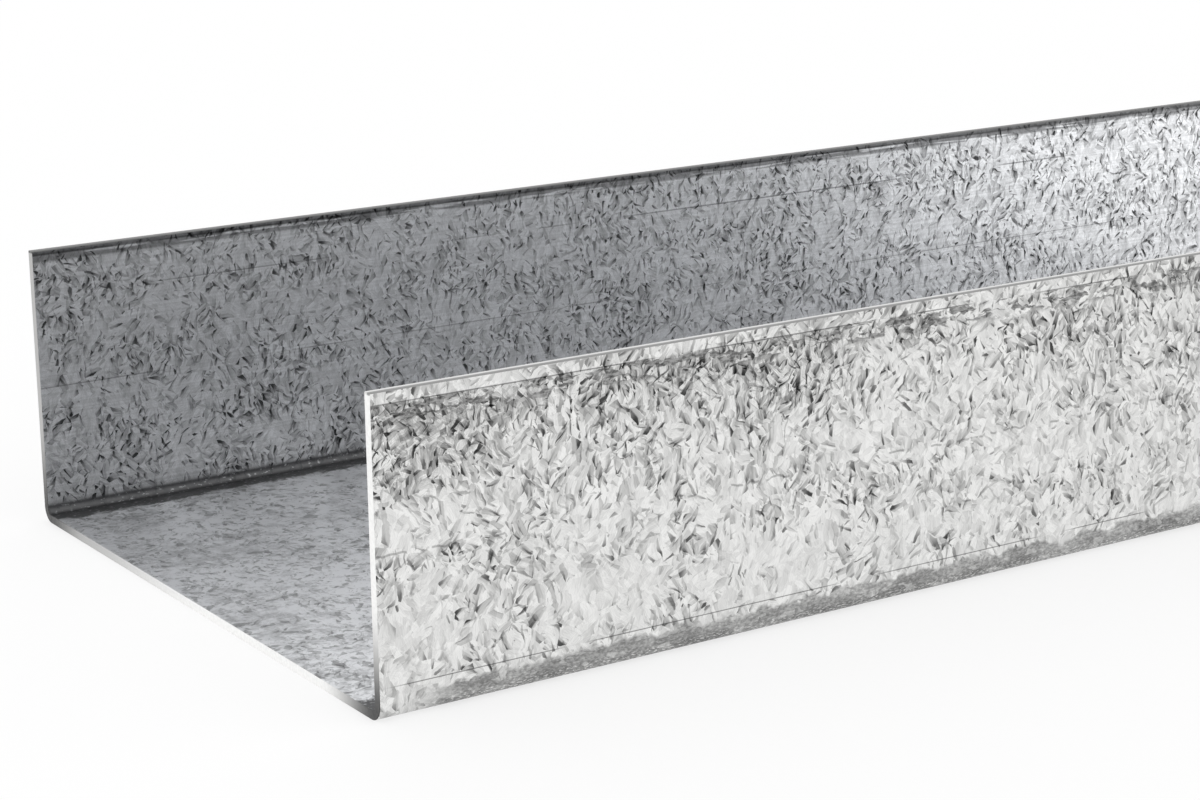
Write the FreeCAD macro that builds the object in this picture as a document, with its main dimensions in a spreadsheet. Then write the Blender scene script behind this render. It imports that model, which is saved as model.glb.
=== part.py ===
import FreeCAD, Part
import math
import os

import Sketcher

# Plain channel section, roll-formed from one strip of galvanised sheet steel.
# It lies on its web with both flanges up: +X runs along the length, +Y across the web,
# +Z up the flanges. The origin is on the underside of the web, at mid length.

# Driving sizes, in millimetres
SIZES = {
    "stock_length": 2400.0,
    "section_width": 100.0,
    "flange_height": 40.0,
    "sheet_thickness": 1.2,
    "bend_radius_inside": 1.0,
    "slit_edge_radius": 0.15,
}

# How a sketch numbers an element's start, end and centre. Its own horizontal axis starts at its origin.
START, END, CENTRE = range(1, 4)
HORIZONTAL_AXIS = -1


def make_sheet(doc):
    """Put the driving sizes in a spreadsheet, one named cell each."""
    sheet = doc.addObject("Spreadsheet::Sheet", "Sizes")
    for row, (name, value) in enumerate(SIZES.items(), start=1):
        sheet.set(f"A{row}", name)
        sheet.set(f"B{row}", str(value))
        sheet.setAlias(f"B{row}", name)
    doc.recompute()
    return sheet


def origin_plane(body, role):
    """Find one of the body's own origin planes."""
    return next(plane for plane in body.Origin.OriginFeatures if plane.Role == role)


def draw_section(body, sheet):
    """Draw the closed outline of the bent sheet, seen along the length."""
    half_width = sheet.section_width / 2
    height = sheet.flange_height
    sheet_t = sheet.sheet_thickness
    inside_r = sheet.bend_radius_inside
    outside_r = inside_r + sheet_t
    bend_y = half_width - outside_r

    sketch = body.newObject("Sketcher::SketchObject", "section_sketch")
    sketch.AttachmentSupport = [(origin_plane(body, "YZ_Plane"), "")]
    sketch.MapMode = "FlatFace"

    def line(start, end):
        points = [FreeCAD.Vector(*point, 0) for point in (start, end)]
        return sketch.addGeometry(Part.LineSegment(*points), False)

    def bend(side, radius):
        """A quarter circle at the foot of one flange; side is +1 or -1 along +Y."""
        circle = Part.Circle(FreeCAD.Vector(side * bend_y, outside_r, 0), FreeCAD.Vector(0, 0, 1), radius)
        first = -math.pi / 2 if side > 0 else math.pi
        return sketch.addGeometry(Part.ArcOfCircle(circle, first, first + math.pi / 2), False)

    # The outline runs round once: under the web, up one flange and down inside it,
    # back along the top of the web, then up inside the other flange and down its outside.
    web_under = line((-bend_y, 0), (bend_y, 0))
    right_bend_outer = bend(+1, outside_r)
    right_outside = line((half_width, outside_r), (half_width, height))
    right_slit = line((half_width, height), (half_width - sheet_t, height))
    right_inside = line((half_width - sheet_t, height), (half_width - sheet_t, outside_r))
    right_bend_inner = bend(+1, inside_r)
    web_top = line((bend_y, sheet_t), (-bend_y, sheet_t))
    left_bend_inner = bend(-1, inside_r)
    left_inside = line((-half_width + sheet_t, outside_r), (-half_width + sheet_t, height))
    left_slit = line((-half_width + sheet_t, height), (-half_width, height))
    left_outside = line((-half_width, height), (-half_width, outside_r))
    left_bend_outer = bend(-1, outside_r)

    def constrain(kind, *places):
        return sketch.addConstraint(Sketcher.Constraint(kind, *places))

    # The sheet runs smoothly into and out of each bend
    constrain("Tangent", web_under, END, right_bend_outer, START)
    constrain("Tangent", right_bend_outer, END, right_outside, START)
    constrain("Tangent", right_inside, END, right_bend_inner, END)
    constrain("Tangent", right_bend_inner, START, web_top, START)
    constrain("Tangent", web_top, END, left_bend_inner, END)
    constrain("Tangent", left_bend_inner, START, left_inside, START)
    constrain("Tangent", left_outside, END, left_bend_outer, START)
    constrain("Tangent", left_bend_outer, END, web_under, START)

    # The slit edges close the outline square across the top of each flange
    constrain("Coincident", right_outside, END, right_slit, START)
    constrain("Coincident", right_slit, END, right_inside, START)
    constrain("Coincident", left_inside, END, left_slit, START)
    constrain("Coincident", left_slit, END, left_outside, START)
    for upright in (right_outside, right_inside, left_inside, left_outside):
        constrain("Vertical", upright)
    for level in (right_slit, left_slit, web_top, web_under):
        constrain("Horizontal", level)

    # The middle of the web's underside is the origin, and each bend keeps the sheet's thickness
    constrain("Symmetric", web_under, START, web_under, END, HORIZONTAL_AXIS, START)
    constrain("Coincident", right_bend_outer, CENTRE, right_bend_inner, CENTRE)
    constrain("Coincident", left_bend_outer, CENTRE, left_bend_inner, CENTRE)
    constrain("Equal", right_bend_inner, left_bend_inner)
    constrain("Horizontal", right_outside, END, left_outside, START)

    def dimension(name, kind, *places):
        """Add a size to the outline and tie it to the cell of that name."""
        index = constrain(kind, *places)
        sketch.renameConstraint(index, name)
        sketch.setExpression(f"Constraints.{name}", f"{sheet.Name}.{name}")

    dimension("section_width", "DistanceX", left_outside, START, right_outside, END, 2 * half_width)
    dimension("flange_height", "DistanceY", right_bend_outer, START, right_outside, END, height)
    dimension("sheet_thickness", "DistanceY", web_under, START, web_top, END, sheet_t)
    dimension("bend_radius_inside", "Radius", right_bend_inner, inside_r)
    return sketch


def roll_section(body, sheet, sketch):
    """Run the section out to the stock length, half each way from mid length."""
    pad = body.newObject("PartDesign::Pad", "rolled_length")
    pad.Profile = sketch
    pad.SideType = "Symmetric"
    pad.setExpression("Length", f"{sheet.Name}.stock_length")
    sketch.Visibility = False
    return pad


def round_slit_edges(body, sheet, pad):
    """Break the four long corners that slitting leaves along the tops of the flanges."""
    top = sheet.flange_height
    half_length = sheet.stock_length / 2

    def runs_along_top(edge):
        box = edge.BoundBox
        tolerance = 1e-4
        at_top = abs(box.ZMin - top) < tolerance and abs(box.ZMax - top) < tolerance
        return at_top and box.XLength > half_length

    edges = pad.Shape.Edges
    corners = [f"Edge{number}" for number, edge in enumerate(edges, start=1) if runs_along_top(edge)]
    fillet = body.newObject("PartDesign::Fillet", "slit_edges")
    fillet.Base = (pad, corners)
    fillet.setExpression("Radius", f"{sheet.Name}.slit_edge_radius")
    return fillet


def make_channel(doc, sheet):
    """Build the one piece of the object."""
    body = doc.addObject("PartDesign::Body", "channel_section")
    body.Label = "channel_section"
    sketch = draw_section(body, sheet)
    pad = roll_section(body, sheet, sketch)
    doc.recompute()
    round_slit_edges(body, sheet, pad)
    body.Placement = FreeCAD.Placement()
    doc.recompute()
    return body


def check(doc, pieces):
    """Stop before anything is written if a feature or a piece has failed."""
    for item in doc.Objects:
        if "Invalid" in item.State or "Error" in item.State:
            raise RuntimeError(f"{item.Label} failed: {item.State}")
    for piece in pieces:
        if piece.Shape.isNull() or not piece.Shape.isValid():
            raise RuntimeError(f"{piece.Label} has no valid shape")


def main():
    doc = FreeCAD.newDocument("channel")
    sheet = make_sheet(doc)
    pieces = [make_channel(doc, sheet)]
    check(doc, pieces)
    os.makedirs("parts", exist_ok=True)
    for piece in pieces:
        piece.Shape.exportStep(f"parts/{piece.Label}.step")


main()
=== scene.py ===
import math

import bpy
from mathutils import Matrix, Vector


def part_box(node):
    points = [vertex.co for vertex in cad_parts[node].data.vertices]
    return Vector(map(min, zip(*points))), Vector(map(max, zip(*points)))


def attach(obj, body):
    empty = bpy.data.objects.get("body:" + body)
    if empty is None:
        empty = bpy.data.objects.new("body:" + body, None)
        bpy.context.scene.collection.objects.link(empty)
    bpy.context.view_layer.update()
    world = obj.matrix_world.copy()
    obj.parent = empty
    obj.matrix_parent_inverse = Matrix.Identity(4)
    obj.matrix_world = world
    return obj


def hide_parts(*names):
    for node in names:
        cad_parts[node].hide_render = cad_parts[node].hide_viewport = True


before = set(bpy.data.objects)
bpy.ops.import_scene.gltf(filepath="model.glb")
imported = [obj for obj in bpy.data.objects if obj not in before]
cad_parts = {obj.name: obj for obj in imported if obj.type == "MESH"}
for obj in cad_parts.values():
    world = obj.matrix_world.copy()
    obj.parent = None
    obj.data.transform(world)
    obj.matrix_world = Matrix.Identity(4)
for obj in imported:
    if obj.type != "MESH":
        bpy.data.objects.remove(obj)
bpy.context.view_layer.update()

MM = 0.001

# The section, as the CAD solid has it
NODE = "channel_section"
LOW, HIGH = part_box(NODE)
HALF_LENGTH = HIGH.x
HALF_WIDTH = HIGH.y
FLANGE_HEIGHT = HIGH.z
SHEET = 1.2 * MM
BEND_INSIDE = 1.0 * MM
BEND_OUTSIDE = BEND_INSIDE + SHEET
SLIT_RADIUS = 0.15 * MM
BEND_Y = HALF_WIDTH - BEND_OUTSIDE

# How finely the mesh follows it
BEND_STEPS = 12
SLIT_STEPS = 4
SUPPORT = 0.5 * MM
LENGTH_STEPS = 48
CUT_BEVEL = 0.08 * MM

# Heights of the faint lines that the forming rollers leave along the flanges, in millimetres
OUTSIDE_LOW_LINE = 4.3
OUTSIDE_MIDDLE_LINE = 20.3
OUTSIDE_TOP_LINE = 38.4
INSIDE_LOW_LINE = 19.9
INSIDE_HIGH_LINE = 33.3

# A groove runs along each of those lines
OUTSIDE_GROOVES = (OUTSIDE_LOW_LINE * MM, OUTSIDE_MIDDLE_LINE * MM, OUTSIDE_TOP_LINE * MM)
INSIDE_GROOVES = (INSIDE_LOW_LINE * MM, INSIDE_HIGH_LINE * MM)
GROOVE_HALF_WIDTH = 0.12 * MM
GROOVE_SUPPORT = 0.15 * MM
GROOVE_DEPTH = 0.02 * MM

# The picture that the materials are baked to has the length cut into pages, one above the other
BAKE_PAGES = 3
BAKE_GAP = 6 * MM

# How far along each side of the sheet, from the middle of the web, the heights up a flange start,
# in millimetres
OUTSIDE_FOOT = (BEND_Y + BEND_OUTSIDE * (math.pi / 2 - 1)) / MM
INSIDE_FOOT = (BEND_Y + BEND_INSIDE * math.pi / 2 - BEND_OUTSIDE) / MM

# Offset of the inside's pattern, so that it isn't the outside's, in millimetres
INSIDE_OFFSET = (37, 211, 0)

# Colours that the materials are mixed from, and the depth of the metal's fine lumps
OUTSIDE_TINT = (0.88, 0.88, 0.87)
# Painted shade: the inside's tint is bluer than the outside's, the cool colour of shade
INSIDE_TINT = (0.945, 0.957, 0.979)
WIPED_EDGE = (0.98, 0.98, 0.97, 1.0)
# The edges' darkest colour: painted shade at the bends and towards high Y, and the darker outer half
# of a slit edge
EDGE_SHADE_AND_TEAR = (0.05, 0.05, 0.05, 1.0)
BLACK = (0.0, 0.0, 0.0, 1.0)
WHITE = (1.0, 1.0, 1.0, 1.0)
LUMP_DEPTH = 0.02 * MM

# Camera, measured from the near end's outside foot: the corner at low X and low Y, on the floor
CAMERA_PLACE = Vector((-145.6, -269.6, 118.8)) * MM
CAMERA_AIM = Vector((31.2, 0.0, 34.4)) * MM
CAMERA_ROLL = math.radians(0.71)
CAMERA_LENS = 83.71
CAMERA_SENSOR = 36.0
CAMERA_NEAREST = 10 * MM

# Brightness of the studio, where 1 is white.
# The floor's own glow makes up for what its colour takes away.
ROOM = 1.0
FLOOR_COLOR = 0.3
FLOOR_GLOW = ROOM - FLOOR_COLOR
FLOOR_REACH = 40.0

# The white card in the trough: its place along the length, its clearance all round, its brightness
CARD_X = -HALF_LENGTH + 234 * MM
CARD_GAP = 0.5 * MM
CARD_GLOW = 1.35 * ROOM

# Numbers of the mesh's three materials
OUTSIDE, INSIDE, EDGE = range(3)


# Shape

def arc(centre, radius, first, last, steps):
    """Points on a circle in the Y-Z plane, between two angles in degrees."""
    angles = [math.radians(first + (last - first) * step / steps) for step in range(steps + 1)]
    return [(centre[0] + radius * math.cos(a), centre[1] + radius * math.sin(a)) for a in angles]


def groove_depth(height, grooves):
    """How far the surface lies below the flat of the flange at this height."""
    return sum(GROOVE_DEPTH * max(0.0, 1 - abs(height - at) / GROOVE_HALF_WIDTH) for at in grooves)


def flange_heights():
    """Heights on a flange where its two faces get points, from its bend to its slit edge."""
    heights = [BEND_OUTSIDE + SUPPORT, FLANGE_HEIGHT - SLIT_RADIUS - SUPPORT]
    shoulder = GROOVE_HALF_WIDTH + GROOVE_SUPPORT
    steps = (-shoulder, -GROOVE_HALF_WIDTH, 0, GROOVE_HALF_WIDTH, shoulder)
    for middle in OUTSIDE_GROOVES + INSIDE_GROOVES:
        heights += [middle + step for step in steps]
    return sorted(heights)


def half_section():
    """Facing pairs of points, outside and inside, from the middle of the web to a slit edge."""
    pairs = [((0, 0), (0, SHEET)), ((BEND_Y - SUPPORT, 0), (BEND_Y - SUPPORT, SHEET))]
    bend_middle = (BEND_Y, BEND_OUTSIDE)
    outer_bend = arc(bend_middle, BEND_OUTSIDE, -90, 0, BEND_STEPS)
    inner_bend = arc(bend_middle, BEND_INSIDE, -90, 0, BEND_STEPS)
    pairs += zip(outer_bend, inner_bend)
    for z in flange_heights():
        outer_y = HALF_WIDTH - groove_depth(z, OUTSIDE_GROOVES)
        inner_y = HALF_WIDTH - SHEET + groove_depth(z, INSIDE_GROOVES)
        pairs.append(((outer_y, z), (inner_y, z)))
    slit_z = FLANGE_HEIGHT - SLIT_RADIUS
    outer_slit = arc((HALF_WIDTH - SLIT_RADIUS, slit_z), SLIT_RADIUS, 0, 90, SLIT_STEPS)
    inner_slit = arc((HALF_WIDTH - SHEET + SLIT_RADIUS, slit_z), SLIT_RADIUS, 180, 90, SLIT_STEPS)
    return pairs + list(zip(outer_slit, inner_slit))


def distances(points):
    """How far along the line each of its points is, from the first."""
    along = [0.0]
    for before, after in zip(points, points[1:]):
        along.append(along[-1] + math.dist(before, after))
    return along


def drawn_in(point, facing):
    """The point, moved by the bevel towards the one that faces it through the sheet."""
    way = Vector(facing) - Vector(point)
    return tuple(Vector(point) + way.normalized() * CUT_BEVEL)


class Section:
    """The closed outline: from the slit edge at low Y down, under the web, up, and back inside."""

    def __init__(self):
        half = half_section()
        mirrored = [tuple((-y, z) for y, z in pair) for pair in half[:0:-1]]
        pairs = mirrored + half
        outer = [pair[0] for pair in pairs]
        inner = [pair[1] for pair in pairs]
        self.pairs = len(pairs)
        self.points = outer + inner[::-1]
        facing = inner + outer[::-1]
        self.cut_points = [drawn_in(*ends) for ends in zip(self.points, facing)]
        self.count = len(self.points)
        self.skins = self.skin_line(OUTSIDE) + self.skin_line(INSIDE)
        self.across = self.from_middle(outer) + self.from_middle(inner)[::-1]
        self.along = distances(self.points + self.points[:1])

    def skin_line(self, skin):
        """The skin of each stretch on one side of the sheet, and of the slit edge that ends it."""
        rolled = self.pairs - 1 - 2 * SLIT_STEPS
        return [EDGE] * SLIT_STEPS + [skin] * rolled + [EDGE] * (SLIT_STEPS + 1)

    def from_middle(self, line):
        """Distances along one side of the sheet, from the middle of the web."""
        along = distances(line)
        return [place - along[-1] / 2 for place in along]


def length_stations():
    """Places along the length, with a small bevel at each cut end."""
    first = -HALF_LENGTH + CUT_BEVEL
    inner_length = 2 * (HALF_LENGTH - CUT_BEVEL)
    steps = [first + inner_length * step / LENGTH_STEPS for step in range(LENGTH_STEPS + 1)]
    return [-HALF_LENGTH, *steps, HALF_LENGTH]


class Skin:
    """Faces as they are added, each with its material and its corners' places in the two UV maps."""

    def __init__(self):
        self.faces = []
        self.materials = []
        self.smooth = []
        self.sheet = []
        self.bake = []

    def add(self, face, material, smooth, sheet, bake):
        self.faces.append(face)
        self.materials.append(material)
        self.smooth.append(smooth)
        self.sheet += sheet
        self.bake += bake


def add_sides(skin, section, stations):
    """The long faces, between each two stations along the length."""
    rows = len(stations) - 1
    page_length = 2 * HALF_LENGTH / BAKE_PAGES
    page_height = section.along[-1] + BAKE_GAP
    for row in range(rows):
        middle = (stations[row] + stations[row + 1]) / 2
        page = int((middle + HALF_LENGTH) / page_length)
        page_start = -HALF_LENGTH + page * page_length
        cut = row in (0, rows - 1)
        for here in range(section.count):
            there = (here + 1) % section.count
            corners = ((row, here), (row, there), (row + 1, there), (row + 1, here))
            face = [step * section.count + point for step, point in corners]
            sheet = [(stations[step], section.across[point]) for step, point in corners]
            low, high = section.along[here:here + 2]
            bake = [(stations[step] - page_start, page * page_height + height)
                    for (step, _), height in zip(corners, (low, high, high, low))]
            skin.add(face, EDGE if cut else section.skins[here], not cut, sheet, bake)


def add_cut_ends(skin, section, stations):
    """The two faces that the saw leaves, as strips between the outside and the inside."""
    last = section.count - 1
    strips_start = BAKE_PAGES * (section.along[-1] + BAKE_GAP)
    for number, row in enumerate((0, len(stations) - 1)):
        strip = strips_start + number * (SHEET + BAKE_GAP)
        for step in range(section.pairs - 1):
            ring = [step, step + 1, last - step - 1, last - step]
            along = [section.along[point] for point in (step, step + 1, step + 1, step)]
            bake = list(zip(along, (strip, strip, strip + SHEET, strip + SHEET)))
            if row == 0:
                ring.reverse()
                bake.reverse()
            sheet = [section.cut_points[point] for point in ring]
            skin.add([row * section.count + point for point in ring], EDGE, False, sheet, bake)


def mark_sharp_edges(mesh, section, stations):
    """Keep the corners of the cut ends and of their bevels sharp."""
    end_rings = (0, 1, len(stations) - 2, len(stations) - 1)
    for edge in mesh.edges:
        first, second = [point // section.count for point in edge.vertices]
        edge.use_edge_sharp = first == second and first in end_rings


def add_uv_maps(mesh, skin):
    """One map with the real places on the flat sheet, and one that fills the picture to bake to."""
    picture_width = 2 * HALF_LENGTH / BAKE_PAGES
    picture_height = max(place[1] for place in skin.bake)
    sheet_map = mesh.uv_layers.new(name="sheet")
    bake_map = mesh.uv_layers.new(name="OFBake")
    for loop, (sheet, bake) in enumerate(zip(skin.sheet, skin.bake)):
        sheet_map.data[loop].uv = sheet
        bake_map.data[loop].uv = (bake[0] / picture_width, bake[1] / picture_height)


def make_channel():
    """The rolled channel as one closed mesh."""
    section = Section()
    stations = length_stations()
    corners = []
    for x in stations:
        outline = section.cut_points if abs(x) == HALF_LENGTH else section.points
        corners += [(x, y, z) for y, z in outline]
    skin = Skin()
    add_sides(skin, section, stations)
    add_cut_ends(skin, section, stations)

    mesh = bpy.data.meshes.new("galvanised_channel")
    mesh.from_pydata(corners, [], skin.faces)
    mesh.polygons.foreach_set("material_index", skin.materials)
    mesh.polygons.foreach_set("use_smooth", skin.smooth)
    mark_sharp_edges(mesh, section, stations)
    add_uv_maps(mesh, skin)
    mesh.update()
    piece = bpy.data.objects.new("galvanised_channel", mesh)
    bpy.context.scene.collection.objects.link(piece)
    return piece


# Materials

class Net:
    """Short calls that add nodes to one material, or to the world, and link them."""

    def __init__(self, owner):
        owner.use_nodes = True
        self.owner = owner
        self.tree = owner.node_tree
        self.tree.nodes.clear()

    def feed(self, socket, value):
        if isinstance(value, bpy.types.NodeSocket):
            self.tree.links.new(value, socket)
        else:
            socket.default_value = value

    def add(self, kind, inputs=None, **settings):
        node = self.tree.nodes.new(kind)
        for name, value in settings.items():
            setattr(node, name, value)
        for name, value in (inputs or {}).items():
            self.feed(node.inputs[name], value)
        return node

    def operate(self, kind, output, operation, values):
        node = self.add(kind, operation=operation)
        for socket, value in zip(node.inputs, values):
            self.feed(socket, value)
        return node.outputs[output]

    def math(self, operation, *values):
        return self.operate("ShaderNodeMath", "Value", operation, values)

    def vector(self, operation, *values):
        return self.operate("ShaderNodeVectorMath", "Vector", operation, values)

    def product(self, *values):
        result = values[0]
        for value in values[1:]:
            result = self.math("MULTIPLY", result, value)
        return result

    def without(self, share, strength=1.0):
        """What is left of 1 when a share of it, at this strength, is taken away."""
        return self.math("SUBTRACT", 1.0, self.math("MULTIPLY", share, strength))

    def blend(self, share, first, second):
        """The first value, with a share of the second in its place."""
        kept = self.math("MULTIPLY", first, self.without(share))
        return self.math("ADD", kept, self.math("MULTIPLY", second, share))

    def smooth(self, value, low, high, first=0.0, last=1.0):
        """The value's smooth way from first, at low, to last, at high."""
        inputs = {"Value": value, "From Min": low, "From Max": high, "To Min": first, "To Max": last}
        node = self.add("ShaderNodeMapRange", inputs, interpolation_type="SMOOTHSTEP")
        return node.outputs["Result"]

    def turned(self, vector, centre, angle):
        inputs = {"Vector": vector, "Center": centre, "Angle": angle}
        return self.add("ShaderNodeVectorRotate", inputs, rotation_type="Z_AXIS").outputs["Vector"]

    def split(self, vector):
        node = self.add("ShaderNodeSeparateXYZ", {"Vector": vector})
        return node.outputs["X"], node.outputs["Y"], node.outputs["Z"]

    def join(self, x, y):
        return self.add("ShaderNodeCombineXYZ", {"X": x, "Y": y}).outputs["Vector"]

    def noise(self, place, size, detail=2.0, roughness=0.5, output="Fac"):
        """Soft noise whose lumps have this size, along the length and across the sheet."""
        scaled = self.vector("DIVIDE", place, (*size, 1.0))
        inputs = {"Vector": scaled, "Scale": 1.0, "Detail": detail, "Roughness": roughness}
        return self.add("ShaderNodeTexNoise", inputs, noise_dimensions="2D").outputs[output]

    def cells(self, vector):
        inputs = {"Vector": vector, "Scale": 1.0}
        return self.add("ShaderNodeTexVoronoi", inputs, voronoi_dimensions="2D")

    def mix(self, share, first, second):
        """A colour between two. The node's colour sockets come after those for numbers and vectors."""
        first_color, second_color, result = 6, 7, 2
        node = self.add("ShaderNodeMix", {"Factor": share}, data_type="RGBA")
        self.feed(node.inputs[first_color], first)
        self.feed(node.inputs[second_color], second)
        return node.outputs[result]

    def bump(self, height, strength):
        inputs = {"Height": height, "Strength": strength, "Distance": LUMP_DEPTH}
        return self.add("ShaderNodeBump", inputs).outputs["Normal"]

    def surface(self, color, roughness, normal, metallic):
        shader = self.add("ShaderNodeBsdfPrincipled", {"Base Color": color, "Roughness": roughness})
        shader.inputs["Metallic"].default_value = metallic
        self.feed(shader.inputs["Normal"], normal)
        self.add("ShaderNodeOutputMaterial", {"Surface": shader.outputs["BSDF"]})
        return self.owner


def new_net(name):
    return Net(bpy.data.materials.new(name))


# Patterns on the flat sheet, with places and sizes in millimetres

def sheet_place(net, offset, foot):
    """A point's place on the flat sheet, with an offset, and its height up a flange."""
    place = net.add("ShaderNodeUVMap", uv_map="sheet").outputs["UV"]
    flat = net.vector("MULTIPLY", place, (1 / MM, 1 / MM, 0.0))
    height = net.math("SUBTRACT", net.math("ABSOLUTE", net.split(flat)[1]), foot)
    return net.vector("ADD", flat, offset), height


def from_cut(net, place):
    """How far a place is from the nearer cut end, where an offset in the place counts too."""
    return net.math("SUBTRACT", HALF_LENGTH / MM, net.math("ABSOLUTE", net.split(place)[0]))


def pushed(net, place, size, reach):
    """The place, moved a little by noise, so that straight edges through it come out bent."""
    noise = net.noise(place, (size, size), 1.0, 0.4, "Color")
    centred = net.vector("SUBTRACT", noise, (0.5, 0.5, 0.5))
    return net.vector("ADD", place, net.vector("MULTIPLY", centred, (reach, reach, 0.0)))


def line_at(net, height, middle, half_width):
    """1 on a line along the length at this height, and 0 beside it."""
    away = net.math("ABSOLUTE", net.math("SUBTRACT", height, middle))
    return net.smooth(away, half_width * 0.4, half_width, 1.0, 0.0)


def broken(net, place, size, low, high):
    """Lengths and gaps of about this size: 1 where there is something, and 0 in the gaps."""
    return net.smooth(net.noise(place, size), low, high)


def lengthwise(net, place, height, dash, lines):
    """Tone of thin broken lines along it: each has a height, a half width and a strength."""
    tone = 1.0
    dashes = broken(net, place, (dash, 6), 0.38, 0.52)
    for middle, half_width, strength in lines:
        line = net.math("MULTIPLY", line_at(net, height, middle, half_width), dashes)
        tone = net.math("MULTIPLY", tone, net.without(line, strength))
    return tone


# Crystals

def crystals(net, place, size):
    """Leaf-like zinc crystals: the place across and along each leaf, and its random numbers."""
    grain_size = 2.5
    grain_turn = 2.4
    leaf_stretch = 2.2
    leaf_turn = 1.2
    scaled = net.vector("DIVIDE", place, (size, size, 1.0))
    grain = net.cells(net.vector("DIVIDE", scaled, (grain_size, grain_size, 1.0)))
    grain_middle = net.vector("MULTIPLY", grain.outputs["Position"], (grain_size, grain_size, 1.0))
    grain_lie = net.math("SUBTRACT", net.split(grain.outputs["Color"])[0], 0.5)
    laid = net.turned(scaled, grain_middle, net.math("MULTIPLY", grain_lie, grain_turn))
    drawn = net.vector("MULTIPLY", laid, (1.0, 1 / leaf_stretch, 1.0))
    leaf = net.cells(drawn)
    chance = net.split(leaf.outputs["Color"])
    lean = net.math("MULTIPLY", net.math("SUBTRACT", chance[0], 0.5), leaf_turn)
    inside = net.turned(net.vector("SUBTRACT", drawn, leaf.outputs["Position"]), (0, 0, 0), lean)
    across, along, _ = net.split(inside)
    # About half of the leaves are mirrored, by a finer part of their first number
    coin = net.math("SUBTRACT", net.math("FRACT", net.math("MULTIPLY", chance[0], 7.0)), 0.5)
    return net.math("MULTIPLY", across, net.math("SIGN", coin)), along, chance


def leaves(net, place, size, chance_shift, rib_tone, first_dark):
    """Tone of one layer: each leaf has a bright side, and a grey facet and a dark rim on the other."""
    facet_grey = 0.27
    rim_dark = 0.64
    dullest_leaf = 0.87
    ribs_apart = 40.0
    across, along, chance = crystals(net, place, size)
    turned_away = net.smooth(net.math("ADD", chance[1], chance_shift), first_dark, 0.95)
    one_end = net.smooth(along, -0.5, 0.3, 0.15, 1.0)
    facet_edge = net.smooth(chance[2], 0.0, 1.0, -0.35, 0.3)
    grey = net.smooth(net.math("SUBTRACT", across, facet_edge), -0.04, 0.08, 0.0, facet_grey)
    dark = net.math("MULTIPLY", net.smooth(across, 0.15, 0.35, 0.0, rim_dark), one_end)
    shade = net.math("MULTIPLY", net.math("ADD", grey, dark), turned_away)
    own_along = net.math("ADD", along, net.math("MULTIPLY", chance[2], ribs_apart))
    ribs = net.smooth(net.noise(net.join(across, own_along), (0.11, 1.0)), 0.3, 0.7, rib_tone, 1.04)
    level = net.smooth(chance[2], 0.0, 1.0, dullest_leaf, 1.0)
    return net.product(net.without(shade), ribs, level)


def spangle(net, flat, chance_shift, rib_tone, first_dark):
    """Tone of the zinc, about 1 on its brightest crystals, from a large and a small layer of leaves.

    A leaf has its dark side where its chance and the shift together pass first_dark."""
    large_leaf = 1.05
    small_leaf = 0.7
    place = pushed(net, pushed(net, flat, 2.2, 0.7), 0.35, 0.1)
    elsewhere = net.vector("ADD", place, (300, 170, 0))
    fewer = net.math("SUBTRACT", chance_shift, 0.2)
    large = leaves(net, place, large_leaf, chance_shift, rib_tone, first_dark)
    small = leaves(net, elsewhere, small_leaf, fewer, rib_tone, first_dark)
    return net.math("MULTIPLY", large, small)


def zinc(net, place, tone, tint):
    """The finished surface: this tint where the tone is 1, smoother there, over slight lumps."""
    color = net.mix(tone, BLACK, (*tint, 1.0))
    roughness = net.smooth(tone, 0.2, 1.0, 0.46, 0.34)
    lumps = net.noise(place, (0.8, 0.8), 1.0)
    return net.surface(color, roughness, net.bump(lumps, 0.4), 1.0)


# Outside

def upper_patches(net, place, height):
    """Where more crystals are turned away: in patches up the flange, and by the cut ends."""
    wide = net.smooth(net.noise(place, (45, 20)), 0.35, 0.7, 0.0, 0.32)
    by_cut = net.smooth(from_cut(net, place), 8, 36, 0.32, 0.0)
    return net.math("MULTIPLY", net.smooth(height, 24, 33), net.math("ADD", wide, by_cut))


def roller_marks(net, place, height):
    """Tone of the roller lines: two thin broken ones, and short pressed marks between them."""
    thin = ((OUTSIDE_LOW_LINE, 0.1, 0.6), (OUTSIDE_TOP_LINE, 0.12, 0.6))
    lines = lengthwise(net, place, height, 20, thin)
    waves = net.smooth(net.noise(place, (1.5, 40), 0.0), 0.2, 0.8, -0.2, 0.2)
    wavy_line = line_at(net, net.math("ADD", height, waves), OUTSIDE_MIDDLE_LINE, 0.2)
    pressed = net.math("MULTIPLY", wavy_line, broken(net, place, (2, 6), 0.5, 0.58))
    return net.math("MULTIPLY", lines, net.without(pressed, 0.4))


def top_smears(net, place, height):
    """Dark smears just below the top line: how much, and their tone."""
    flecks = broken(net, pushed(net, place, 1.0, 0.8), (4.5, 0.9), 0.53, 0.57)
    above = net.smooth(height, 35.4, 36.6)
    below = net.smooth(height, 38.2, 38.5, 1.0, 0.0)
    tone = net.smooth(net.noise(place, (1.2, 0.5), 3.0, 0.6), 0.35, 0.65, 0.07, 0.4)
    return net.product(flecks, above, below, 0.8), tone


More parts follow.
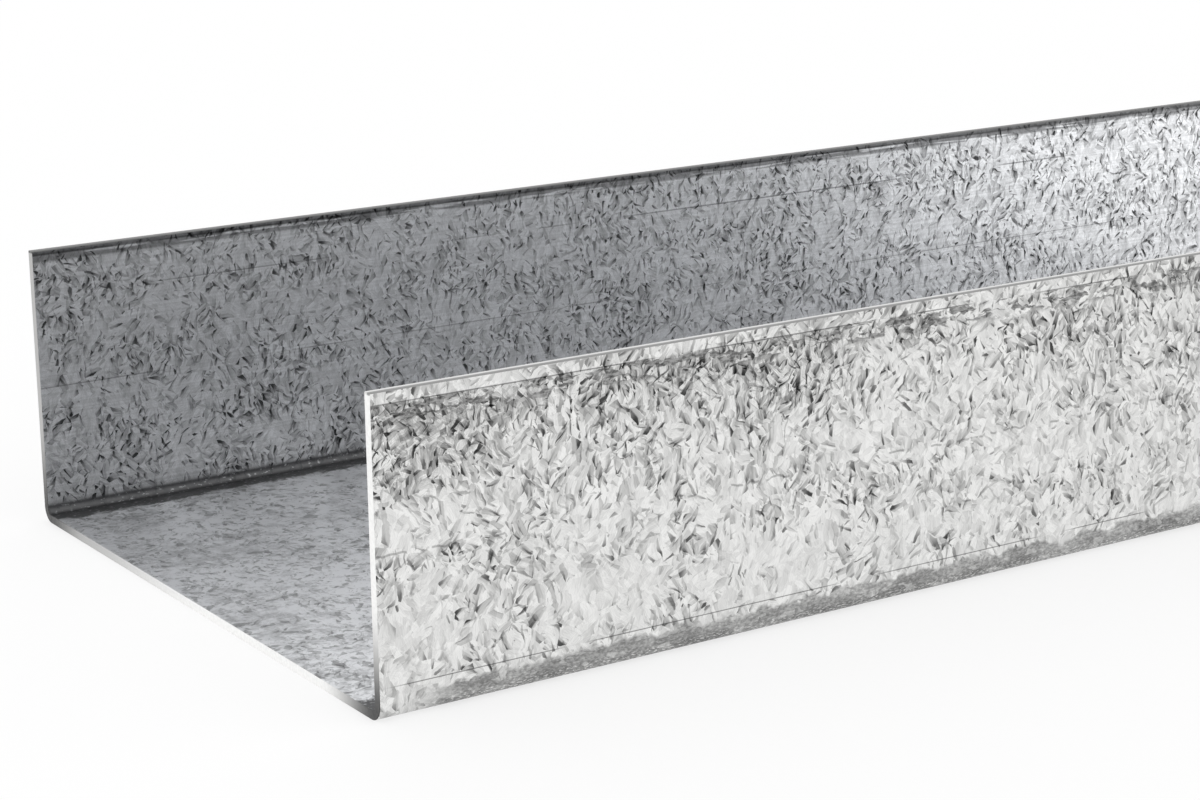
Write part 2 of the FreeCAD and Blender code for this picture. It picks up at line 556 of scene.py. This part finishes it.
def rubbed_and_shaded_bend(net, place, height):
    """Where the rollers rubbed the bends dull: how much, and the tone that is left, with painted shade
    that darkens it towards the bottom of the bend.
    """
    ragged = net.noise(pushed(net, place, 1.2, 1.2), (3.5, 6), 2.0, 0.6)
    ragged = net.math("ADD", height, net.math("MULTIPLY", ragged, 3.0))
    to_flange = net.smooth(ragged, 4.5, 5.2, 1.0, 0.0)
    to_web = net.smooth(height, -3.5, -2.0)
    to_cut = net.smooth(from_cut(net, place), 2, 12)
    missed = broken(net, place, (3, 1.2), 0.6, 0.64)
    share = net.product(to_flange, to_web, net.without(missed, 0.4), to_cut)
    clouds = net.smooth(net.noise(place, (9, 3)), 0.3, 0.7, 0.75, 1.25)
    # Painted shade: the rubbed tone is darker towards the bottom of the bend
    upwards = net.smooth(height, 0.5, 3.5, 0.3, 0.43)
    grain = net.smooth(net.noise(place, (0.7, 0.4), 3.0, 0.7), 0.3, 0.7, 0.72, 1.25)
    specks = net.smooth(net.noise(place, (0.6, 0.25)), 0.55, 0.65)
    low_specks = net.math("MULTIPLY", specks, net.smooth(height, 0.9, 2.0, 0.45, 0.1))
    return share, net.math("ADD", net.product(clouds, upwards, grain), low_specks)


def outside_zinc():
    """Outside of the channel: rubbed dull at the bends, with painted shade low on them, and with
    roller marks and smears.
    """
    bruise_height = 36.3
    bruise_reach = 3.2
    first_dark = 0.1
    net = new_net("zinc_outside")
    place, height = sheet_place(net, (0, 0, 0), OUTSIDE_FOOT)
    below_top = net.smooth(height, OUTSIDE_TOP_LINE - 0.2, OUTSIDE_TOP_LINE + 0.2, 1.0, 0.0)
    upper = net.math("MULTIPLY", upper_patches(net, place, height), below_top)
    bruise = line_at(net, height, bruise_height, bruise_reach)
    darkened = net.product(bruise, below_top, broken(net, place, (9, 4), 0.36, 0.6))
    patches = net.math("SUBTRACT", net.noise(place, (14, 7)), 0.5)
    lower = net.smooth(height, 6, 24, -0.12, 0.0)
    shift = net.math("ADD", patches, net.math("ADD", lower, upper))
    shift = net.math("ADD", shift, net.math("MULTIPLY", darkened, 0.35))
    tone = spangle(net, place, shift, net.smooth(upper, 0.1, 0.6, 0.94, 0.66), first_dark)
    tone = net.product(tone, roller_marks(net, place, height), net.without(darkened, 0.12))
    smeared, smear_tone = top_smears(net, place, height)
    tone = net.blend(smeared, tone, smear_tone)
    rubbed, rubbed_and_shaded_tone = rubbed_and_shaded_bend(net, place, height)
    tone = net.blend(rubbed, tone, rubbed_and_shaded_tone)
    return zinc(net, place, tone, OUTSIDE_TINT)


# Inside

def worn_web(net, place, tone, on_web):
    """The tone, worn on the web to soft mottling, with clouds and small marks."""
    mottled = net.smooth(net.noise(place, (3, 2.5), 4.0, 0.75), 0.35, 0.65, 0.5, 1.5)
    tone = net.blend(net.math("MULTIPLY", on_web, 0.35), tone, mottled)
    clouds = net.smooth(net.noise(place, (18, 14)), 0.3, 0.7, 0.9, 1.22)
    marks = broken(net, pushed(net, place, 2.0, 1.5), (2.2, 2.2), 0.64, 0.68)
    return net.blend(on_web, tone, net.product(tone, clouds, net.without(marks, 0.45)))


def flange_grime_and_shade(net, place, height, on_web):
    """Tone of the flanges: dirt below the slit edge, darker towards the foot, and painted shade
    towards the cut ends.
    """
    smudge_line = line_at(net, height, 38.9, 0.9)
    smudges = net.math("MULTIPLY", smudge_line, broken(net, place, (12, 0.6), 0.34, 0.5))
    at_edge = net.smooth(height, 39.1, 39.4)
    to_foot = net.math("MULTIPLY", net.smooth(height, 4.0, 34.0, 1.0, 0.3), net.without(on_web))
    # Painted shade: the flanges get darker towards the cut ends
    to_cut = net.blend(on_web, net.smooth(from_cut(net, place), 0, 90, 0.8, 1.0), 1.0)
    by_edge = net.math("MULTIPLY", net.without(smudges, 0.6), net.without(at_edge, 0.75))
    return net.product(by_edge, net.without(to_foot, 0.27), to_cut)


def corner_darkening(net, place, height):
    """A darker band in the corners, straight along the flange and ragged on the web: how much, and its
    tone.
    """
    ragged = net.smooth(net.noise(place, (3, 1.5), 3.0, 0.6), 0.25, 0.75, -0.9, 0.9)
    to_web = net.smooth(net.math("ADD", height, ragged), -2.7, -1.7)
    to_flange = net.smooth(height, 2.2, 2.8, 1.0, 0.0)
    tone = net.smooth(net.noise(place, (0.8, 0.5), 3.0, 0.6), 0.6, 0.75, 0.09, 0.45)
    return net.product(to_flange, to_web, 0.92), tone


def inside_zinc():
    """Inside of the channel: drawn streaks along it, a worn web, darker corners, and flanges with dirt
    and painted shade.
    """
    fineness = 1.1
    rib_tone = 0.88
    first_dark = 0.45
    net = new_net("zinc_inside")
    place, height = sheet_place(net, INSIDE_OFFSET, INSIDE_FOOT)
    on_web = net.smooth(height, -4.0, -1.0, 1.0, 0.0)
    patches = net.smooth(net.noise(place, (16, 8)), 0.3, 0.7, 0.08, 0.4)
    shift = net.math("SUBTRACT", patches, net.math("MULTIPLY", on_web, 0.1))
    finer = net.vector("MULTIPLY", place, (fineness, fineness, 1.0))
    tone = worn_web(net, place, spangle(net, finer, shift, rib_tone, first_dark), on_web)
    streaks = net.smooth(net.noise(place, (60, 0.35)), 0.3, 0.7, 0.9, 1.04)
    thin = ((INSIDE_HIGH_LINE, 0.16, 0.5), (INSIDE_LOW_LINE, 0.14, 0.38))
    lines = lengthwise(net, place, height, 25, thin)
    tone = net.product(tone, streaks, lines, flange_grime_and_shade(net, place, height, on_web))
    corner_dark, corner_tone = corner_darkening(net, place, height)
    return zinc(net, place, net.blend(corner_dark, tone, corner_tone), INSIDE_TINT)


# Edges

def edge_tone(net, across, height):
    """Tone of the edges: painted shade, dark at the bends and duller at high Y, and darker on a slit
    edge's outer half.
    """
    from_middle = net.math("ABSOLUTE", across)
    from_bend = net.math("SUBTRACT", BEND_Y / MM, from_middle)
    from_bend = net.math("MAXIMUM", from_bend, net.math("SUBTRACT", height, BEND_OUTSIDE / MM))
    # Painted shade: dark near the bends
    darkened = net.smooth(from_bend, -1.0, 13.0, 0.03, 1.0)
    # Painted shade: the cut ends and the slit edges are duller towards high Y
    cut_tone = net.smooth(across, -5.0, 40.0, 1.0, 0.5)
    from_outside = net.math("SUBTRACT", HALF_WIDTH / MM, from_middle)
    torn = net.smooth(from_outside, 0.4, 0.6, 0.38, 1.0)
    slit_tone = net.math("MULTIPLY", net.smooth(across, -5.0, 40.0, 0.8, 0.16), torn)
    from_top = net.math("SUBTRACT", FLANGE_HEIGHT / MM, height)
    on_slit = net.smooth(from_top, 0.2, 0.4, 1.0, 0.0)
    return net.math("MULTIPLY", darkened, net.blend(on_slit, cut_tone, slit_tone))


def sheared_edge():
    """Bare steel of the cut ends and the slit edges, with a smear of zinc over it, and painted shade
    at the bends and towards high Y.
    """
    net = new_net("sheared_edge")
    place = net.add("ShaderNodeTexCoord").outputs["Object"]
    along, across, height = net.split(net.vector("MULTIPLY", place, (1 / MM, 1 / MM, 1 / MM)))
    grit = net.noise(net.join(net.math("ADD", along, across), height), (0.5, 0.5), 3.0)
    gritty = net.smooth(grit, 0.3, 0.7, 0.92, 1.0)
    wiped_and_shaded = net.math("MULTIPLY", edge_tone(net, across, height), gritty)
    color = net.mix(wiped_and_shaded, EDGE_SHADE_AND_TEAR, WIPED_EDGE)
    roughness = net.smooth(grit, 0.2, 0.8, 0.3, 0.5)
    return net.surface(color, roughness, net.bump(grit, 0.3), 0.9)


# Studio

def add_quad(name, corners):
    """A flat face with four corners."""
    mesh = bpy.data.meshes.new(name)
    mesh.from_pydata(corners, [], [(0, 1, 2, 3)])
    quad = bpy.data.objects.new(name, mesh)
    bpy.context.scene.collection.objects.link(quad)
    return quad


def make_floor():
    """A wide white floor that keeps the shadow."""
    reach = FLOOR_REACH
    outline = ((-reach, -reach), (reach, -reach), (reach, reach), (-reach, reach))
    floor = add_quad("floor", [(x, y, 0) for x, y in outline])
    net = new_net("pale_floor")
    color = (FLOOR_COLOR, FLOOR_COLOR, FLOOR_COLOR, 1.0)
    shader = net.add("ShaderNodeBsdfPrincipled", {"Base Color": color, "Roughness": 0.9})
    shader.inputs["Specular IOR Level"].default_value = 0.0
    shader.inputs["Emission Color"].default_value = WHITE
    shader.inputs["Emission Strength"].default_value = FLOOR_GLOW
    net.add("ShaderNodeOutputMaterial", {"Surface": shader.outputs["BSDF"]})
    floor.data.materials.append(net.owner)


def make_world():
    """A plain white room, the same for the camera and for what the metal mirrors."""
    world = bpy.data.worlds.new("studio")
    bpy.context.scene.world = world
    net = Net(world)
    background = net.add("ShaderNodeBackground", {"Color": WHITE, "Strength": ROOM})
    net.add("ShaderNodeOutputWorld", {"Surface": background.outputs["Background"]})


def make_card():
    """A white card across the trough, beyond the picture's edge, for the metal to mirror.

    The camera doesn't see it. It shines towards the near end only, and is clear from behind."""
    side = HALF_WIDTH - SHEET - CARD_GAP
    low = SHEET + CARD_GAP
    high = FLANGE_HEIGHT - CARD_GAP
    outline = ((-side, low), (-side, high), (side, high), (side, low))
    card = add_quad("card", [(CARD_X, y, z) for y, z in outline])
    card.visible_camera = False
    net = new_net("white_card")
    behind = net.add("ShaderNodeNewGeometry").outputs["Backfacing"]
    shine = net.add("ShaderNodeEmission", {"Color": WHITE, "Strength": CARD_GLOW})
    clear = net.add("ShaderNodeBsdfTransparent")
    one_side = net.add("ShaderNodeMixShader", {"Fac": behind})
    net.feed(one_side.inputs[1], shine.outputs["Emission"])
    net.feed(one_side.inputs[2], clear.outputs["BSDF"])
    net.add("ShaderNodeOutputMaterial", {"Surface": one_side.outputs["Shader"]})
    card.data.materials.append(net.owner)


def make_camera():
    """The photo's camera, in front of the near end."""
    data = bpy.data.cameras.new("camera")
    data.lens = CAMERA_LENS
    data.sensor_width = CAMERA_SENSOR
    data.clip_start = CAMERA_NEAREST
    camera = bpy.data.objects.new("camera", data)
    bpy.context.scene.collection.objects.link(camera)
    foot = Vector((LOW.x, LOW.y, 0))
    camera.location = foot + CAMERA_PLACE
    aim = (CAMERA_AIM - CAMERA_PLACE).to_track_quat("-Z", "Y").to_matrix()
    roll = Matrix.Rotation(-CAMERA_ROLL, 3, "Z")
    camera.rotation_euler = (aim @ roll).to_euler()
    bpy.context.scene.camera = camera


channel = make_channel()
for made in (outside_zinc(), inside_zinc(), sheared_edge()):
    channel.data.materials.append(made)
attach(channel, "root")
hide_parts(NODE)

make_floor()
make_world()
make_card()
make_camera()
bpy.context.scene.view_settings.view_transform = "Standard"
